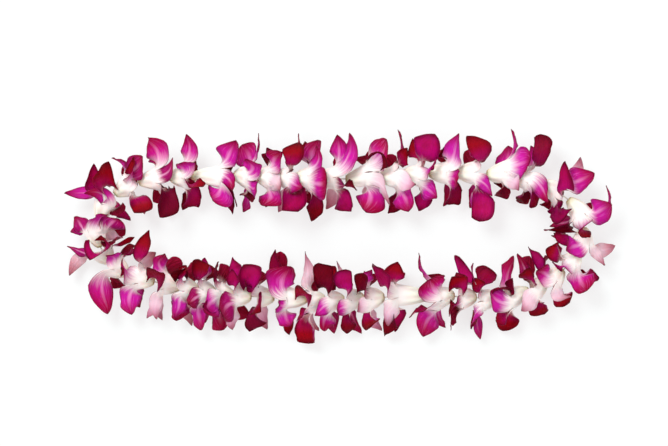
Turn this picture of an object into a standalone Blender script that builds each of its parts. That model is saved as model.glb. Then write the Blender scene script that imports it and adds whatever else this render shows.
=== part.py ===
"""Fresh flower lei: orchid blooms strung nose to tail on one closed cotton string, lying in a long oval.

Units are metres in the scene; the layout below works in millimetres. The string's plane is level, +Z is up and
z = 0 is the surface the lei rests on. The origin is at the bottom, under the middle of the loop.
Every bloom is one hollow body with six lobes; its back end has the needle hole that the string runs through.
"""

import itertools
import math

import bpy
import numpy as np

# ---------------------------------------------------------------- layout
# The strand is laid out in plan on a grid: x runs right, y runs down the sheet.
GRID = 0.92             # millimetres per grid unit
GRID_X = 342.5          # grid point that lands on the world origin
GRID_Y = 236.5
AXIS_Z = 22.0           # mm, height of the string above the resting surface
LIFT = 6.0              # mm, below this height the lobes are pressed flat
THICK = 0.9             # mm, wall of body and lobes

# String line in plan, clockwise from above, in grid units.
LOOP = (
    (98, 228), (103, 208), (120, 190), (143, 181), (175, 177), (215, 176), (260, 176), (300, 178),
    (345, 179), (375, 178), (410, 175), (435, 173), (465, 173), (491, 174), (520, 178), (550, 188),
    (573, 203), (584, 222), (582, 243), (570, 264), (550, 280), (528, 291), (505, 297), (480, 298),
    (450, 296), (410, 296), (370, 298), (335, 300), (300, 299), (262, 297), (225, 295), (190, 289),
    (160, 283), (130, 275), (108, 260), (98, 243),
)

# One row for each bloom, clockwise: grid point of its back end, grid point of
# the middle of its mouth, and the lobes whose tips are placed by hand:
# (P petal, S sepal or L lip; tip x, y on the grid; tip height in mm; side that
# faces up: F the inner side, B the outer side, b an outer side that is pale,
# e an edge; width factor; curl of the tip in mm).
BLOOMS = (
    ((98, 243), (94, 223), (("P", 76, 217, 24, "B", 0.6, 2), ("S", 70, 232, 16, "B", 0.7, 2), ("P", 122, 216, 30, "B", 0.9, 2), ("S", 120, 240, 12, "b", 0.7, 1))),
    ((100, 215), (109, 197), (("P", 64, 199, 28, "B", 0.42, 3), ("S", 88, 190, 40, "B", 0.8, 2), ("S", 93, 167, 36, "F", 1.2, 2), ("P", 118, 161, 44, "F", 1.3, 1), ("P", 121, 214, 28, "F", 1.1, 1))),
    ((118, 191), (137, 183), (("S", 133, 157, 34, "F", 0.8, 2), ("P", 150, 158, 33, "B", 0.85, 2), ("P", 142, 213, 32, "F", 1.3, 1), ("S", 114, 156, 24, "e", 0.8, 2))),
    ((143, 181), (167, 178), (("P", 148, 136, 30, "B", 0.9, 4), ("P", 184, 211, 30, "F", 1.35, 1), ("S", 168, 217, 9, "F", 1.0, 1), ("S", 181, 160, 38, "B", 0.8, 1))),
    ((174, 177), (190, 176), (("S", 189, 134, 26, "B", 1.0, 5), ("P", 180, 163, 43, "B", 0.8, 1), ("P", 200, 208, 10, "F", 0.8, 1))),
    ((196, 176), (225, 177), (("P", 235, 140, 30, "B", 0.9, 4), ("P", 212, 201, 30, "B", 1.0, 2), ("P", 236, 190, 42, "B", 0.8, 1), ("S", 241, 147, 20, "F", 1.0, 3), ("L", 250, 205, 15, "F", 0.9, 2), ("S", 233, 215, 8, "F", 0.7, 1))),
    ((238, 176), (250, 178), (("P", 252, 160, 42, "B", 0.9, 1), ("S", 262, 132, 20, "e", 0.8, 3))),
    ((259, 177), (272, 178), (("P", 279, 151, 40, "B", 1.0, 1), ("S", 267, 208, 12, "F", 0.7, 1))),
    ((278, 177), (290, 179), (("P", 291, 144, 32, "F", 1.0, 6), ("P", 298, 212, 40, "F", 1.6, 0), ("S", 303, 134, 14, "e", 0.8, 3))),
    ((299, 178), (311, 179), (("S", 315, 222, 14, "F", 1.3, 1), ("S", 321, 149, 26, "B", 0.8, 5))),
    ((318, 179), (350, 178), (("S", 337, 134, 28, "B", 1.1, 4), ("S", 359, 131, 30, "e", 0.9, 7), ("P", 354, 213, 12, "F", 0.8, 1))),
    ((350, 179), (380, 172), (("P", 365, 213, 27, "B", 1.05, 2), ("P", 394, 140, 30, "B", 1.0, 1), ("S", 397, 203, 28, "b", 1.0, 2))),
    ((383, 178), (403, 176), (("P", 409, 212, 32, "B", 0.95, 1), ("S", 388, 215, 9, "F", 1.1, 1), ("P", 413, 150, 28, "F", 0.8, 3), ("S", 401, 129, 18, "e", 0.8, 2))),
    ((405, 175), (429, 175), (("P", 433, 134, 34, "F", 1.25, 2), ("S", 421, 212, 11, "F", 1.1, 1), ("P", 438, 198, 26, "B", 0.7, 1))),
    ((433, 173), (457, 173), (("P", 456, 134, 26, "B", 0.8, 2), ("S", 443, 147, 22, "F", 1.0, 1), ("S", 457, 182, 42, "B", 1.1, 1), ("P", 463, 205, 14, "F", 0.9, 1))),
    ((460, 173), (484, 173), (("P", 469, 134, 28, "F", 0.9, 3), ("S", 487, 144, 22, "F", 0.7, 1), ("P", 478, 221, 28, "F", 1.3, 2), ("S", 494, 196, 30, "B", 0.8, 1))),
    ((491, 174), (514, 171), (("S", 503, 190, 15, "F", 0.8, 1), ("S", 514, 129, 22, "e", 0.8, 3), ("P", 534, 163, 42, "B", 1.0, 1))),
    ((515, 177), (536, 181), (("P", 537, 134, 27, "F", 1.05, 3), ("P", 541, 205, 24, "F", 0.9, 1))),
    ((541, 184), (564, 196), (("P", 558, 162, 40, "F", 1.2, 1), ("P", 594, 174, 30, "B", 0.9, 2), ("S", 582, 157, 18, "b", 0.8, 4), ("S", 555, 216, 9, "F", 0.9, 1))),
    ((572, 202), (584, 224), (("P", 609, 203, 30, "B", 0.9, 2), ("S", 614, 190, 26, "e", 0.9, 7), ("P", 549, 235, 30, "F", 1.1, 3), ("P", 574, 254, 47, "F", 1.5, 1))),
    ((584, 232), (580, 250), (("S", 616, 247, 12, "b", 0.5, 2), ("S", 604, 264, 26, "b", 0.6, 2))),
    ((576, 255), (566, 269), (("P", 585, 291, 34, "B", 1.1, 1), ("P", 546, 248, 22, "F", 0.8, 2))),
    ((560, 273), (548, 284), (("P", 568, 306, 15, "F", 0.95, 1), ("S", 528, 247, 24, "F", 1.0, 5))),
    ((543, 285), (531, 291), (("S", 540, 313, 8, "F", 0.9, 1), ("P", 529, 268, 38, "F", 0.9, 1))),
    ((525, 292), (497, 303), (("P", 521, 276, 38, "F", 0.8, 1), ("S", 502, 332, 9, "F", 1.0, 1), ("P", 481, 290, 40, "B", 0.8, 1), ("S", 489, 322, 15, "F", 0.9, 1))),
    ((497, 298), (470, 301), (("P", 475, 277, 28, "F", 0.6, 1), ("S", 482, 340, 11, "B", 0.8, 1), ("P", 471, 330, 20, "F", 0.6, 1), ("S", 447, 261, 20, "F", 0.9, 3), ("L", 460, 325, 14, "B", 0.8, 1))),
    ((472, 297), (456, 298), (("P", 452, 276, 40, "F", 0.9, 1), ("L", 445, 322, 14, "F", 0.9, 1), ("S", 438, 330, 9, "F", 0.8, 1))),
    ((450, 297), (434, 298), (("P", 428, 278, 41, "B", 1.05, 1), ("P", 421, 336, 16, "B", 0.9, 2), ("S", 412, 256, 26, "e", 0.9, 7))),
    ((427, 296), (391, 295), (("S", 398, 262, 26, "F", 1.3, 2), ("P", 368, 264, 40, "F", 1.3, 1), ("S", 386, 325, 22, "b", 1.1, 1), ("P", 378, 338, 12, "F", 0.85, 1))),
    ((380, 298), (368, 299), (("P", 350, 276, 34, "F", 1.0, 1), ("P", 372, 330, 14, "F", 0.8, 3))),
    ((360, 299), (348, 300), (("P", 344, 269, 37, "F", 1.0, 1), ("P", 346, 336, 14, "F", 0.7, 3), ("S", 332, 261, 18, "b", 0.8, 3))),
    ((340, 300), (328, 302), (("P", 318, 263, 40, "F", 1.5, 1), ("P", 322, 330, 20, "B", 0.8, 2))),
    ((321, 302), (309, 303), (("P", 305, 345, 15, "F", 1.35, 2), ("S", 308, 253, 16, "b", 0.9, 3), ("S", 294, 319, 24, "F", 0.8, 1))),
    ((303, 299), (278, 297), (("P", 288, 265, 40, "B", 1.15, 1), ("P", 290, 327, 20, "B", 0.8, 2), ("S", 281, 251, 14, "b", 0.8, 3), ("S", 271, 250, 24, "F", 1.1, 2))),
    ((270, 298), (250, 296), (("P", 244, 264, 38, "F", 1.2, 2), ("P", 251, 333, 15, "F", 0.9, 2), ("S", 264, 308, 42, "F", 1.4, 1))),
    ((247, 296), (236, 295), (("P", 228, 258, 26, "F", 0.9, 5), ("S", 230, 330, 20, "b", 1.1, 1))),
    ((230, 294), (218, 293), (("P", 203, 311, 36, "B", 1.0, 1), ("S", 214, 262, 22, "F", 0.9, 2))),
    ((212, 293), (200, 291), (("P", 203, 260, 27, "F", 1.0, 1), ("P", 203, 329, 16, "B", 0.95, 2))),
    ((194, 290), (182, 288), (("S", 177, 318, 24, "B", 1.1, 1), ("P", 184, 264, 30, "F", 0.9, 2))),
    ((176, 286), (156, 282), (("P", 162, 253, 38, "B", 1.1, 1), ("P", 148, 267, 45, "F", 1.2, 1), ("S", 156, 319, 26, "b", 0.75, 1), ("S", 146, 319, 12, "b", 0.6, 1))),
    ((150, 281), (132, 276), (("P", 149, 230, 30, "F", 0.8, 5), ("P", 131, 314, 24, "B", 0.9, 2), ("P", 117, 253, 46, "F", 1.5, 1))),
    ((124, 272), (112, 264), (("P", 113, 317, 26, "B", 0.82, 2), ("S", 93, 303, 18, "B", 0.75, 2))),
    ((107, 260), (100, 248), (("S", 67, 275, 14, "b", 0.45, 3), ("S", 66, 241, 18, "B", 0.6, 2), ("P", 104, 234, 45, "F", 1.2, 1), ("P", 90, 256, 40, "F", 1.0, 1))),
)

# Lobes in order round the mouth, 60 degrees apart from the dorsal sepal.
KINDS = ("sepal", "petal", "sepal", "lip", "sepal", "petal")
LETTER = {"sepal": "S", "petal": "P", "lip": "L"}
LONGEST = 40.0
# Half width in mm against distance along the lobe.
SHAPE_T = (0.0, 0.18, 0.42, 0.64, 0.84, 0.95, 1.0)
SHAPE_W = {
    "petal": (5.2, 8.6, 13.2, 13.2, 7.4, 2.8, 0.2),
    "heart": (5.2, 8.6, 13.4, 14.8, 11.0, 5.4, 0.4),
    "sepal": (5.2, 7.6, 8.4, 6.8, 3.5, 1.3, 0.15),
    "lip": (5.2, 6.2, 7.8, 7.8, 7.4, 4.4, 0.6),
}
CUP = {"petal": 0.12, "sepal": 0.24, "lip": 0.30}
MOUTH_R = 10.0
BODY_T = (0.0, 0.09, 0.32, 0.65, 1.0)   # share of the body's length
BODY_R = (2.7, 4.0, 6.0, 8.2, 10.0)     # mm, radius there
CREST = 46.0            # mm, taller lobes bow under their own weight above this
OVERHANG = 9.0          # mm forwards for each AXIS_Z of height
NEST = 4.0              # mm that each back end reaches into the mouth behind it


def loop_line():
    """The string line as a smooth closed curve: arc length, points, tangents and outward normals, in mm."""
    grid = np.array(LOOP, float)
    pts = np.stack([(grid[:, 0] - GRID_X) * GRID, (GRID_Y - grid[:, 1]) * GRID], 1)
    n = len(pts)
    fine = []
    for i in range(n):
        p0, p1, p2, p3 = pts[i - 1], pts[i], pts[(i + 1) % n], pts[(i + 2) % n]
        for k in range(24):
            t = k / 24.0
            fine.append(0.5 * (2 * p1 + (p2 - p0) * t + (2 * p0 - 5 * p1 + 4 * p2 - p3) * t * t
                               + (3 * p1 - p0 - 3 * p2 + p3) * t ** 3))
    fine = np.array(fine)
    count = 720
    for passes in (60, 12):
        closed = np.vstack([fine, fine[:1]])
        run = np.concatenate([[0.0], np.cumsum(np.linalg.norm(np.diff(closed, axis=0), axis=1))])
        at = np.arange(count) * run[-1] / count
        fine = np.stack([np.interp(at, run, closed[:, 0]), np.interp(at, run, closed[:, 1])], 1)
        for _ in range(passes):
            fine = 0.5 * fine + 0.25 * (np.roll(fine, 1, 0) + np.roll(fine, -1, 0))
    closed = np.vstack([fine, fine[:1]])
    run = np.concatenate([[0.0], np.cumsum(np.linalg.norm(np.diff(closed, axis=0), axis=1))])
    tangent = np.roll(fine, -1, 0) - np.roll(fine, 1, 0)
    tangent /= np.linalg.norm(tangent, axis=1)[:, None]
    normal = np.stack([-tangent[:, 1], tangent[:, 0]], 1)
    return run, fine, tangent, normal


RUN, LINE, TANGENT, NORMAL = loop_line()
AROUND = float(RUN[-1])


def along(table, s):
    s = np.mod(s, AROUND)
    wrapped = np.vstack([table, table[:1]])
    return np.stack([np.interp(s, RUN, wrapped[:, 0]), np.interp(s, RUN, wrapped[:, 1])], -1)


def station(x, y):
    """Arc length and outward offset of a grid point."""
    p = np.array([(x - GRID_X) * GRID, (GRID_Y - y) * GRID])
    i = int(np.argmin(np.linalg.norm(LINE - p, axis=1)))
    ahead = float(np.dot(p - LINE[i], TANGENT[i]))
    s = RUN[i] + np.clip(ahead, -3.0, 3.0)
    return float(s % AROUND), float(np.dot(p - LINE[i], NORMAL[i]))


def bend_at(s):
    """Curvature of the string line there, 1/mm; points outwards of it lie that much further apart."""
    one, two = along(NORMAL, np.array([s - 8.0, s + 8.0]))
    return float(np.dot(two - one, along(TANGENT, s))) / 16.0


def settle(p):
    """Presses the strand onto the surface: what would sink is laid forwards and sideways instead."""
    a, y, z = p[..., 0], p[..., 1], p[..., 2] - THICK / 2
    low = np.minimum(z, LIFT)
    soft = LIFT * np.exp((low - LIFT) / LIFT)
    pressed = np.where(z < LIFT, np.maximum(soft - 1.5 * (LIFT - soft) / LIFT, 0.0), z)
    over = np.maximum(z - CREST, 0.0)
    sunk = over - 7.0 * np.tanh(over / 9.0)
    gave = pressed - z
    return np.stack([a + 0.75 * gave, y * (1.0 + 0.022 * gave), pressed - sunk + THICK / 2], -1)


def to_world(p):
    """From strand coordinates (along, outwards, up) in mm to world mm."""
    q = settle(p)
    xy = along(LINE, q[..., 0]) + along(NORMAL, q[..., 0]) * q[..., 1:2]
    return np.concatenate([xy, q[..., 2:3]], -1)


def soft_limit(x, low, high):
    """Leaves the middle alone and eases values into (low, high)."""
    knee = 0.42
    up = np.where(x > knee * high, high * (knee + (1 - knee) * np.tanh((x / high - knee) / (1 - knee))), x)
    return np.where(up < knee * low, low * (knee + (1 - knee) * np.tanh((up / low - knee) / (1 - knee))), up)


def unit(v):
    return v / np.maximum(np.linalg.norm(v, axis=-1, keepdims=True), 1e-9)


def smooth(t, lo, hi):
    x = np.clip((t - lo) / (hi - lo), 0.0, 1.0)
    return x * x * (3 - 2 * x)


def smooth_line(xs, ys, t):
    """A smooth line through the points of a table."""
    xs, ys = np.array(xs), np.array(ys)
    slope = np.gradient(ys, xs)
    slope[-1] = (ys[-1] - ys[-2]) / (xs[-1] - xs[-2])
    i = np.clip(np.searchsorted(xs, t, side="right") - 1, 0, len(xs) - 2)
    span = xs[i + 1] - xs[i]
    u = (t - xs[i]) / span
    return ((2 * u ** 3 - 3 * u ** 2 + 1) * ys[i] + (u ** 3 - 2 * u ** 2 + u) * span * slope[i]
            + (-2 * u ** 3 + 3 * u ** 2) * ys[i + 1] + (u ** 3 - u ** 2) * span * slope[i + 1])


def half_width(kind, t):
    return smooth_line(SHAPE_T, SHAPE_W[kind], t)


def turn_between(a, b):
    return abs((a - b + 180.0) % 360.0 - 180.0)


def best_roll(tips):
    """The roll of the dorsal sepal, and the lobe for each placed tip, that turn the tips least from where they grow."""
    best = None
    for roll in range(0, 360, 12):
        spots = [(roll + 60.0 * k) % 360.0 for k in range(6)]
        cost = [[(turn_between(angle, spots[k]) / 30.0) ** 2 + (0.0 if LETTER[KINDS[k]] == letter else 2.5)
                 for k in range(6)] for letter, angle in tips]
        for chosen in itertools.permutations(range(6), len(tips)):
            total = sum(cost[j][k] for j, k in enumerate(chosen))
            if best is None or total < best[0] - 1e-9:
                best = (total, roll, chosen)
    return best[1], best[2]


def overhang(z):
    """How far forwards the upper lobes of a bloom reach over the lower ones of the next."""
    return OVERHANG * np.clip((z - AXIS_Z) / AXIS_Z, -1.0, 1.1)


def ahead_of(s, start):
    return (s - start + AROUND / 2) % AROUND - AROUND / 2


def bloom_plan():
    """Stations, body lengths, free room and lobe poses of all blooms."""
    plans = []
    for (x, y), (mx, my), placed in BLOOMS:
        plans.append({"s": (station(x, y)[0] - NEST) % AROUND, "mouth_at": station(mx, my), "placed": placed})
    plans.sort(key=lambda row: row["s"])
    n = len(plans)
    rng = np.random.RandomState(418)
    for i, plan in enumerate(plans):
        pitch = ahead_of(plans[(i + 1) % n]["s"], plan["s"])
        length = ahead_of(plan["mouth_at"][0], plan["s"])
        plan["pitch"] = pitch
        plan["body"] = float(np.clip(max(0.58 * length, pitch - 13.0), 11.0, max(17.0, pitch - 13.0)))
        plan["mouth_y"] = float(np.clip(0.8 * plan["mouth_at"][1], -3.0, 3.0))
        plan["mouth_z"] = 1.0 * math.sin(2.1 * i)
        tips = []
        for letter, tx, ty, tz, side, wide, curl in plan["placed"]:
            s, off = station(tx, ty)
            tips.append((letter, ahead_of(s, plan["s"]), off, float(tz), side, wide, float(curl)))
        plan["tips"] = tips
        plan["roll"], plan["slots"] = best_roll(
            [(tip[0], math.degrees(math.atan2(tip[3] - AXIS_Z + (11.0 if tip[3] > 17.0 else 0.0), tip[2] - plan["mouth_y"])))
             for tip in tips])
    for i, plan in enumerate(plans):
        ahead = plans[(i + 1) % n]
        plan["next_body"] = ahead["body"]
        plan["bend"] = bend_at(plan["s"] + plan["body"])
        gap = plan["pitch"] + ahead["body"] - plan["body"]
        middle = plan["body"] + 0.62 * gap
        most = 0.38 * gap - 3.0
        shifts = []
        for sign in (1.0, -1.0):
            mine = [t[1] - overhang(t[3]) for t in plan["tips"] if sign * t[2] > 8.0]
            theirs = [t[1] - overhang(t[3]) + plan["pitch"] for t in ahead["tips"] if sign * t[2] > 8.0]
            want = 0.0
            if mine and theirs:
                want = (max(mine) + min(theirs)) / 2 - middle
            elif mine:
                want = max(0.0, max(mine) + 2.0 - middle)
            elif theirs:
                want = min(0.0, min(theirs) - 2.0 - middle)
            shifts.append(float(np.clip(want, -most, most)))
        plan["fence"] = (middle, shifts[0], shifts[1])
    for i, plan in enumerate(plans):
        behind = plans[i - 1]
        plan["fence_back"] = (behind["fence"][0] - behind["pitch"], behind["fence"][1], behind["fence"][2])
        used = {side: [tip[1] - overhang(tip[3]) for tip in plan["tips"] if side * tip[2] > 6.0] for side in (1.0, -1.0)}
        rise = [math.sin(math.radians(plan["roll"] + 60.0 * k)) if k not in plan["slots"] else -1.0 for k in range(6)]
        draped = rise.index(max(rise)) if max(rise) > -0.30 else None
        lobes = []
        for k, kind in enumerate(KINDS):
            theta = plan["roll"] + 60.0 * k
            wild = np.clip(rng.normal(0.0, 1.0, 9), -2.0, 2.0)
            tone = float(rng.random_sample())
            lobe = {"kind": kind, "theta": theta, "phase": float(wild[5]) * 3.0,
                    "cup": 1.0 + 0.9 * abs(wild[7]), "twist": 0.24 * float(wild[8]),
                    "hook": float(2.2 * wild[8] + 1.5 * wild[0]) * (1.3 if kind == "sepal" else 1.0)}
            if k in plan["slots"]:
                _, ta, ty, tz, face, wide, curl = plan["tips"][plan["slots"].index(k)]
                lobe.update(tip=(ta, ty, tz), inner_up=face in "Fe", turned=0.12 if face == "e" else 1.0,
                            wide=1.06 * wide, curl=curl, pale=1.0 if face == "b" else 0.0)
                lobes.append(lobe)
                continue
            # The other lobes fill the widest gap left on their side of the strand.
            up, across = math.sin(math.radians(theta)), math.cos(math.radians(theta)) + 0.1 * wild[3]
            side = 1.0 if across > 0 else -1.0
            tz = 21.0 + (17.0 if up > 0 else 26.0) * up + 3.0 * wild[1]
            ty = side * (29.0 - 5.0 * max(up, 0.0) + 3.0 * wild[2] - (9.0 if kind == "lip" else 0.0))
            if k == draped:
                ty, tz = side * (12.0 + 4.0 * wild[2]), 40.0 + 2.0 * wild[1]
            which = 1 if side > 0 else 2
            first = plan["fence_back"][0] + plan["fence_back"][which] + 5.0
            last = plan["fence"][0] + plan["fence"][which] - 5.0
            spots = np.linspace(first, last, 9)
            free = [min([abs(spot - other) for other in used[side]] + [12.0]) for spot in spots]
            spot = float(spots[int(np.argmax(np.array(free) - 0.02 * np.abs(spots - plan["body"] - 4.0)))])
            if k == draped:
                spot = float(spots[-1])
            used[side].append(spot)
            lobe.update(tip=(spot + float(overhang(tz)), ty, max(tz, -10.0)), inner_up=wild[6] < -0.1,
                        turned=float(np.clip(0.85 + 0.12 * wild[4], 0.5, 1.0)),
                        wide=1.07 + 0.09 * wild[0] + float(np.clip((plan["pitch"] - 26.0) / 90.0, 0.0, 0.16)),
                        curl=2.0 + 1.4 * abs(wild[4]), pale=1.0 if kind == "sepal" and tone > 0.6 else 0.0)
            lobes.append(lobe)
        plan["lobes"] = lobes
    return plans


def fence_at(fence, y, z):
    """How far along the strand the dividing surface between two blooms is, for points this far outwards and up."""
    middle, outer, inner = fence
    return middle + outer * smooth(y, 4.0, 34.0) + inner * smooth(-y, 4.0, 34.0) + overhang(z)


def lobe_points(plan, lobe, ts, us, ruffle=0.0):
    """Strand coordinates of a lobe's mid surface, shape (len(ts), len(us), 3), relative to the bloom's back end."""
    kind = lobe["kind"]
    shape = "heart" if kind == "petal" and lobe["wide"] > 1.02 else kind
    ang = math.radians(lobe["theta"])
    rho = np.array([0.0, math.cos(ang), math.sin(ang)])
    tau = np.array([0.0, -math.sin(ang), math.cos(ang)])
    fwd = np.array([1.0, 0.0, 0.0])
    axis = np.array([plan["body"], plan["mouth_y"], AXIS_Z + plan["mouth_z"]])
    start = axis + MOUTH_R * rho
    tip = np.array(lobe["tip"])
    far = float(np.linalg.norm(tip - start))
    tip = start + (tip - start) * min(1.0, LONGEST / far)
    flare = unit(2.2 * fwd + rho)
    reach = float(np.linalg.norm(tip - start))
    c1 = start + 0.34 * reach * flare
    c2 = tip - 0.34 * reach * unit(tip - c1)
    t = np.asarray(ts, float)[:, None]
    mid = ((1 - t) ** 3 * start + 3 * (1 - t) ** 2 * t * c1 + 3 * (1 - t) * t ** 2 * c2 + t ** 3 * tip)
    d = unit(3 * (1 - t) ** 2 * (c1 - start) + 6 * (1 - t) * t * (c2 - c1) + 3 * t ** 2 * (tip - c2))
    w0 = unit(tau - d * (d @ tau)[:, None])
    n0 = np.cross(d, w0)
    end_w, end_n = w0[-1], n0[-1]
    sign = 1.0 if lobe["inner_up"] else -1.0
    full = math.atan2(-sign * end_w[2], sign * end_n[2])
    full = max(-1.75, min(1.75, full))
    phi = full * lobe["turned"] * smooth(t, 0.05, 0.60) + lobe["twist"] * smooth(t, 0.30, 1.0)
    w = np.cos(phi) * w0 + np.sin(phi) * n0
    n = np.cos(phi) * n0 - np.sin(phi) * w0
    u = np.asarray(us, float)[None, :]
    hw = (half_width(shape, t[:, 0]) * (1.0 + (lobe["wide"] - 1.0) * smooth(t[:, 0], 0.0, 0.4)))[:, None]
    cup = CUP[kind] * lobe["cup"] * hw * u ** 2 * smooth(t, 0.05, 0.4)
    curl = -lobe["curl"] * smooth(t, 0.62, 1.15) * 1.6
    lift = cup + curl + 0 * u
    if ruffle:
        wave = np.sin(t * 19.0 + lobe["phase"]) + 0.6 * np.sin(t * 33.0 + 2 * lobe["phase"] + 1.5 * u)
        lift = lift + ruffle * wave * np.abs(u) ** 3 * smooth(t, 0.2, 0.5)
        lift = lift - 0.35 * np.exp(-(u / 0.10) ** 2) * smooth(t, 0.05, 0.2) * (1 - smooth(t, 0.8, 1.0))
    # The ring at the mouth is round: the first row follows it.
    ring_ang = ang + np.asarray(us, float) * math.radians(30.0)
    ring = axis + MOUTH_R * np.stack([0 * ring_ang, np.cos(ring_ang), np.sin(ring_ang)], -1)
    # The tip hooks sideways within the lobe's own plane.
    hooked = lobe["hook"] * (smooth(t, 0.55, 1.25) * 1.4 - 0.35 * smooth(t, 0.1, 0.55))
    mid = mid + hooked * w
    off = (hw * u)[..., None] * w[:, None, :] + lift[..., None] * n[:, None, :]
    off[..., 0] /= np.clip(1.0 + plan["bend"] * mid[:, 1:2], 0.7, 3.0)
    blade = mid[:, None, :] + off
    mix = (1 - smooth(t, 0.0, 0.16))[..., None]
    blade = blade * (1 - mix) + (ring[None] + (mid - start)[:, None, :]) * mix
    # Lobes pass round the back of the next bloom, which reaches into the mouth.
    into = blade[..., 0] - plan["pitch"]
    room = (smooth_line(BODY_T, BODY_R, np.clip(into / plan["next_body"], 0.0, 0.99)) + 1.4) * smooth(into, -3.5, -0.5)
    dy, dz = blade[..., 1], blade[..., 2] - AXIS_Z
    r = np.hypot(dy, dz)
    pushed = np.where(room > 0.0, 0.5 * (r + room + np.sqrt((r - room) ** 2 + 1.2)), r)
    pushed = r + (pushed - r) * smooth(into, -3.5, -0.5)
    blade[..., 1], blade[..., 2] = dy * pushed / np.maximum(r, 1e-6), AXIS_Z + dz * pushed / np.maximum(r, 1e-6)
    high = fence_at(plan["fence"], blade[..., 1], blade[..., 2]) - plan["body"] - 1.4
    low = fence_at(plan["fence_back"], blade[..., 1], blade[..., 2]) - plan["body"] + 1.4
    blade[..., 0] = plan["body"] + soft_limit(blade[..., 0] - plan["body"], low, high)
    return blade


def body_ring(plan, f, around):
    """Strand coordinates of one ring of the hollow body; f runs from 0 at the back to 1 at the mouth."""
    r = smooth_line(BODY_T, BODY_R, np.array([min(f, 0.9999)]))[0]
    r = r * (1.0 + 0.07 * math.sin(math.pi * f) * np.cos(6.0 * (around - math.radians(plan["roll"]))))
    drift = f * f
    return np.stack([plan["body"] * f + 0 * around, drift * plan["mouth_y"] + r * np.cos(around),
                     AXIS_Z + drift * plan["mouth_z"] + r * np.sin(around)], -1)


def bloom_sheet(plan, seg, rings, rows, cols, ruffle=0.0):
    """Points, faces and (lobe, t, u) of one bloom as an open sheet. seg is the number of ring faces in each lobe's
    base, rings the body rows, rows a dict of lobe stations by kind, cols the cross stations."""
    first = math.radians(plan["roll"] - 30.0)
    total = 6 * seg
    around = first + np.arange(total) * 2 * math.pi / total
    points, faces, info = [], [], []
    for f in rings:
        for p in body_ring(plan, f, around):
            points.append(p)
            info.append((6, f, 0.0))
    for j in range(len(rings) - 1):
        for i in range(total):
            a, b = j * total + i, j * total + (i + 1) % total
            faces.append((a, a + total, b + total, b))
    mouth = (len(rings) - 1) * total
    for k, lobe in enumerate(plan["lobes"]):
        ts = rows[lobe["kind"]]
        grid = lobe_points(plan, lobe, (0.0,) + tuple(ts), cols, ruffle)
        ids = [[mouth + (k * seg + c) % total for c in range(seg + 1)]]
        for j, t in enumerate(ts):
            if t >= 1.0:
                ids.append([len(points)])
                points.append(grid[j + 1, len(cols) // 2])
                info.append((k, 1.0, 0.0))
                continue
            line = []
            for c, u in enumerate(cols):
                line.append(len(points))
                points.append(grid[j + 1, c])
                info.append((k, t, u))
            ids.append(line)
        for lower, upper in zip(ids, ids[1:]):
            for c in range(seg):
                if len(upper) == 1:
                    faces.append((lower[c], upper[0], lower[c + 1]))
                else:
                    faces.append((lower[c], upper[c], upper[c + 1], lower[c + 1]))
    pts = np.array(points)
    pts[:, 0] += plan["s"]
    return pts, faces, info


# ---------------------------------------------------------------- build
STRING_R = 0.6          # mm, cotton string
KNOT_AT = 3             # the knot sits in the clear ahead of this bloom's back end
KNOT_CLEAR = 4.0        # mm ahead of the back end it follows
CUT_SNAP = 0.30         # mm, pressed petal faces this near the surface lie on it


def clear_scene():
    for obj in list(bpy.data.objects):
        bpy.data.objects.remove(obj, do_unlink=True)
    for old in list(bpy.data.collections):
        bpy.data.collections.remove(old)


def material(name, colour, roughness):
    made = bpy.data.materials.new(name)
    made.use_nodes = True
    shader = made.node_tree.nodes["Principled BSDF"]
    shader.inputs["Base Color"].default_value = (*colour, 1.0)
    shader.inputs["Roughness"].default_value = roughness
    shader.inputs["Metallic"].default_value = 0.0
    made.diffuse_color = (*colour, 1.0)
    return made


def mesh_object(name, points, faces, home, skin):
    mesh = bpy.data.meshes.new(name)
    mesh.from_pydata([tuple(p) for p in points], [], [tuple(f) for f in faces])
    mesh.update()
    obj = bpy.data.objects.new(name, mesh)
    home.objects.link(obj)
    obj.data.materials.append(skin)
    return obj


def applied(obj):
    """Replaces the object's mesh with its evaluated one."""
    graph = bpy.context.evaluated_depsgraph_get()
    made = bpy.data.meshes.new_from_object(obj.evaluated_get(graph))
    obj.modifiers.clear()
    obj.data = made
    made.name = obj.name


def build_bloom(number, plan, home, skin):
    rows = {"petal": (0.28, 0.56, 0.86, 1.0), "sepal": (0.40, 0.76, 1.0), "lip": (0.42, 0.80, 1.0)}
    points, faces, _ = bloom_sheet(plan, 2, (0.0, 0.12, 0.45, 1.0), rows, (-1.0, 0.0, 1.0))
    obj = mesh_object(f"bloom_{number:02d}", to_world(points) * 0.001, faces, home, skin)
    wall = obj.modifiers.new("wall", "SOLIDIFY")
    wall.thickness = THICK * 0.001
    wall.offset = 0.0
    wall.use_even_offset = False
    wall.use_rim = True
    bpy.context.view_layer.update()
    applied(obj)
    for vertex in obj.data.vertices:
        if vertex.co.z < CUT_SNAP * 0.001:
            vertex.co.z = 0.0
    obj.data.update()
    return obj


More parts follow.
